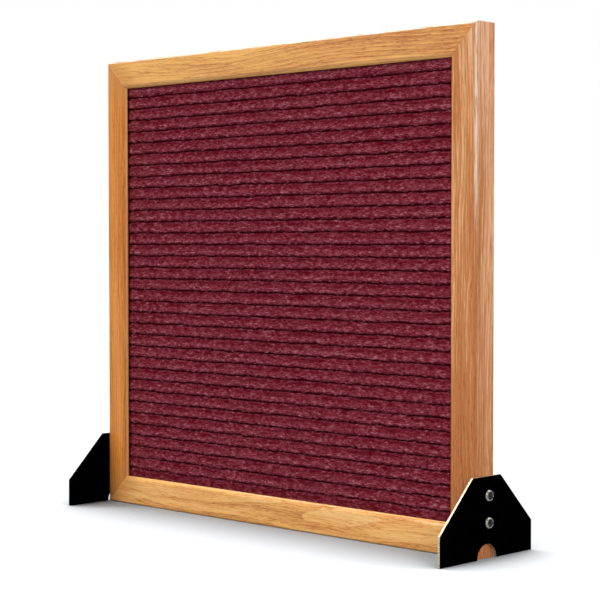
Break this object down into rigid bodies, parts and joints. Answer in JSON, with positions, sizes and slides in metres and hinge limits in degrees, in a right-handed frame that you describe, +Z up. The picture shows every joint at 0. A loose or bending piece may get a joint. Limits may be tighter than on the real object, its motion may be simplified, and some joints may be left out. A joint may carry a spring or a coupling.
{
  "type": "tabletop letter board",
  "caption": "Free-standing grooved felt letter board in a mitred oak frame, on flat plate feet, with a turn-button back.",
  "frame": {"origin": "middle of the footprint, on the surface that the board stands on", "axes": "+Z up, the felt faces -Y, +X to the right as seen from the front"},
  "size_m": [0.2778, 0.0704, 0.254],
  "materials": {
    "oak": "golden oak, satin lacquer",
    "fibreboard": "raw fibreboard",
    "felt": "burgundy wool felt",
    "hardboard": "tempered hardboard",
    "black_sheet": "gloss black coated sheet",
    "nickel": "bright nickel plate",
    "zinc": "zinc plated steel",
    "nail_steel": "spring steel strip"
  },
  "bodies": {
    "board": {"top_rail": "oak", "bottom_rail": "oak", "left_stile": "oak", "right_stile": "oak", "corner_nail_top_left": "nail_steel", "corner_nail_top_right": "nail_steel", "corner_nail_bottom_left": "nail_steel", "corner_nail_bottom_right": "nail_steel", "groove_board": "fibreboard", "felt_cover": "felt", "backing_board": "hardboard", "left_foot": "black_sheet", "right_foot": "black_sheet", "left_foot_upper_screw": "nickel", "left_foot_lower_screw": "nickel", "right_foot_upper_screw": "nickel", "right_foot_lower_screw": "nickel", "turn_button_screw_top_left": "zinc", "turn_button_screw_top_right": "zinc", "turn_button_screw_bottom_left": "zinc", "turn_button_screw_bottom_right": "zinc", "turn_button_screw_left": "zinc", "turn_button_screw_right": "zinc"},
    "button_top_left": {"turn_button_top_left": "zinc"},
    "button_top_right": {"turn_button_top_right": "zinc"},
    "button_bottom_left": {"turn_button_bottom_left": "zinc"},
    "button_bottom_right": {"turn_button_bottom_right": "zinc"},
    "button_left": {"turn_button_left": "zinc"},
    "button_right": {"turn_button_right": "zinc"}
  },
  "joints": [
    {"name": "top_left_button_turn", "type": "hinge", "parent": "board", "child": "button_top_left", "pos_m": [-0.07, 0.0077, 0.24825], "axis": [0, 1, 0], "range_deg": [-90, 90]},
    {"name": "top_right_button_turn", "type": "hinge", "parent": "board", "child": "button_top_right", "pos_m": [0.07, 0.0077, 0.24825], "axis": [0, 1, 0], "range_deg": [-90, 90]},
    {"name": "bottom_left_button_turn", "type": "hinge", "parent": "board", "child": "button_bottom_left", "pos_m": [-0.07, 0.0077, 0.00575], "axis": [0, 1, 0], "range_deg": [-90, 90]},
    {"name": "bottom_right_button_turn", "type": "hinge", "parent": "board", "child": "button_bottom_right", "pos_m": [0.07, 0.0077, 0.00575], "axis": [0, 1, 0], "range_deg": [-90, 90]},
    {"name": "left_button_turn", "type": "hinge", "parent": "board", "child": "button_left", "pos_m": [-0.12925, 0.0077, 0.127], "axis": [0, 1, 0], "range_deg": [-90, 90]},
    {"name": "right_button_turn", "type": "hinge", "parent": "board", "child": "button_right", "pos_m": [0.12925, 0.0077, 0.127], "axis": [0, 1, 0], "range_deg": [-90, 90]}
  ]
}
